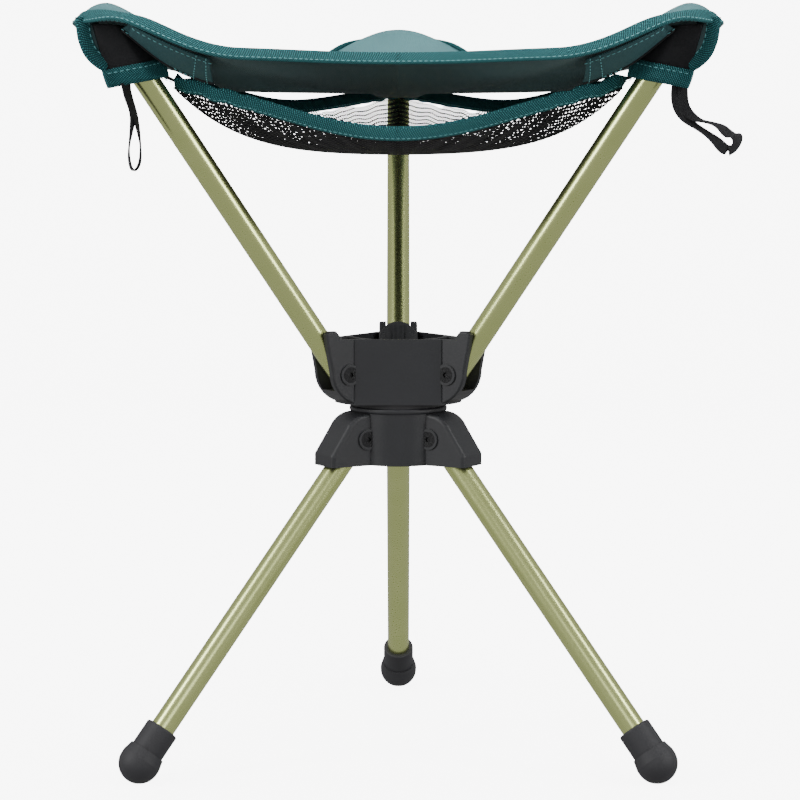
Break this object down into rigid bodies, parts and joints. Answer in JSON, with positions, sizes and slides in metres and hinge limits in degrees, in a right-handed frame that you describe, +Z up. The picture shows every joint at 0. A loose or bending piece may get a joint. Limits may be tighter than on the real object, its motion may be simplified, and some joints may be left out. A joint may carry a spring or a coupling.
{
  "type": "three leg folding stool",
  "caption": "Compact folding camp stool: fabric sling on tube struts over a swivelling hub, splayed tube legs with rubber feet, mesh pouch under the seat.",
  "frame": {"origin": "the point of the floor under the middle of the stool's plan (width and depth) when it stands open; the swivel axis passes 34 mm in front of it", "axes": "+Z up along the swivel axis, -Y towards the front, between the two front legs"},
  "size_m": [0.3774, 0.3426, 0.4495],
  "materials": {
    "tube_anodised": "satin olive-green anodised tube",
    "hub_plastic": "black glass-filled nylon, fine grain",
    "foot_rubber": "dark grey moulded rubber",
    "plug_nylon": "black nylon",
    "black_steel": "black-oxide steel",
    "zinc_steel": "zinc-plated steel",
    "bearing_plastic": "dark acetal",
    "sling_cloth": "coated polyester cloth, grey-teal underside",
    "teal_webbing": "ribbed teal binding tape",
    "pocket_cloth": "black plain-woven nylon",
    "pouch_mesh": "black open knitted mesh",
    "black_webbing": "black flat webbing"
  },
  "bodies": {
    "lower_hub": {"lower_hub": "hub_plastic", "leg_pivot_barrels": "black_steel", "leg_pivot_screws": "black_steel", "swivel_bearing_ring": "bearing_plastic", "swivel_bushing": "bearing_plastic"},
    "upper_hub": {"upper_hub": "hub_plastic", "strut_pivot_barrels": "black_steel", "strut_pivot_screws": "black_steel", "swivel_bolt": "zinc_steel", "swivel_top_washer": "zinc_steel", "swivel_bottom_washer": "zinc_steel", "swivel_lock_nut": "zinc_steel", "seat_sling": "sling_cloth", "seat_binding": "teal_webbing", "mesh_pouch": "pouch_mesh", "pouch_binding": "teal_webbing", "corner_gusset_front_left": "sling_cloth", "corner_gusset_front_right": "sling_cloth", "corner_gusset_rear": "sling_cloth"},
    "leg_front_left": {"leg_tube_front_left": "tube_anodised", "leg_pivot_plug_front_left": "plug_nylon", "rubber_foot_front_left": "foot_rubber"},
    "strut_front_left": {"strut_tube_front_left": "tube_anodised", "strut_pivot_plug_front_left": "plug_nylon", "strut_tip_cap_front_left": "plug_nylon", "corner_pocket_front_left": "pocket_cloth", "pocket_strap_front_left": "teal_webbing", "pull_loop_front_left": "black_webbing"},
    "leg_front_right": {"leg_tube_front_right": "tube_anodised", "leg_pivot_plug_front_right": "plug_nylon", "rubber_foot_front_right": "foot_rubber"},
    "strut_front_right": {"strut_tube_front_right": "tube_anodised", "strut_pivot_plug_front_right": "plug_nylon", "strut_tip_cap_front_right": "plug_nylon", "corner_pocket_front_right": "pocket_cloth", "pocket_strap_front_right": "teal_webbing", "pull_loop_front_right": "black_webbing"},
    "leg_rear": {"leg_tube_rear": "tube_anodised", "leg_pivot_plug_rear": "plug_nylon", "rubber_foot_rear": "foot_rubber"},
    "strut_rear": {"strut_tube_rear": "tube_anodised", "strut_pivot_plug_rear": "plug_nylon", "strut_tip_cap_rear": "plug_nylon", "corner_pocket_rear": "pocket_cloth", "pocket_strap_rear": "teal_webbing", "pull_loop_rear": "black_webbing"}
  },
  "joints": [
    {"name": "hub_swivel", "type": "hinge", "parent": "lower_hub", "child": "upper_hub", "pos_m": [0, -0.03376, 0.21271], "axis": [0, 0, 1], "continuous": true},
    {"name": "leg_fold_front_left", "type": "hinge", "parent": "lower_hub", "child": "leg_front_left", "pos_m": [-0.02425, -0.04776, 0.19411], "axis": [0.5, -0.866, 0], "range_deg": [0, 38.7]},
    {"name": "leg_fold_front_right", "type": "hinge", "parent": "lower_hub", "child": "leg_front_right", "pos_m": [0.02425, -0.04776, 0.19411], "axis": [0.5, 0.866, 0], "range_deg": [0, 38.7]},
    {"name": "leg_fold_rear", "type": "hinge", "parent": "lower_hub", "child": "leg_rear", "pos_m": [0, -0.00576, 0.19411], "axis": [-1, 0, 0], "range_deg": [0, 38.7]},
    {"name": "strut_fold_front_left", "type": "hinge", "parent": "upper_hub", "child": "strut_front_left", "pos_m": [-0.03464, -0.05376, 0.23361], "axis": [-0.5, 0.866, 0], "range_deg": [0, 35.9], "deforming": ["seat_sling", "seat_binding", "mesh_pouch", "pouch_binding", "corner_gusset_front_left", "corner_gusset_front_right", "corner_gusset_rear", "pull_loop_front_left", "corner_pocket_front_left", "pocket_strap_front_left"]},
    {"name": "strut_fold_front_right", "type": "hinge", "parent": "upper_hub", "child": "strut_front_right", "pos_m": [0.03464, -0.05376, 0.23361], "axis": [-0.5, -0.866, 0], "range_deg": [0, 35.9], "deforming": ["seat_sling", "seat_binding", "mesh_pouch", "pouch_binding", "corner_gusset_front_left", "corner_gusset_front_right", "corner_gusset_rear", "pull_loop_front_right", "corner_pocket_front_right", "pocket_strap_front_right"]},
    {"name": "strut_fold_rear", "type": "hinge", "parent": "upper_hub", "child": "strut_rear", "pos_m": [0, 0.00624, 0.23361], "axis": [1, 0, 0], "range_deg": [0, 35.9], "deforming": ["seat_sling", "seat_binding", "mesh_pouch", "pouch_binding", "corner_gusset_front_left", "corner_gusset_front_right", "corner_gusset_rear", "pull_loop_rear", "corner_pocket_rear", "pocket_strap_rear"]}
  ]
}
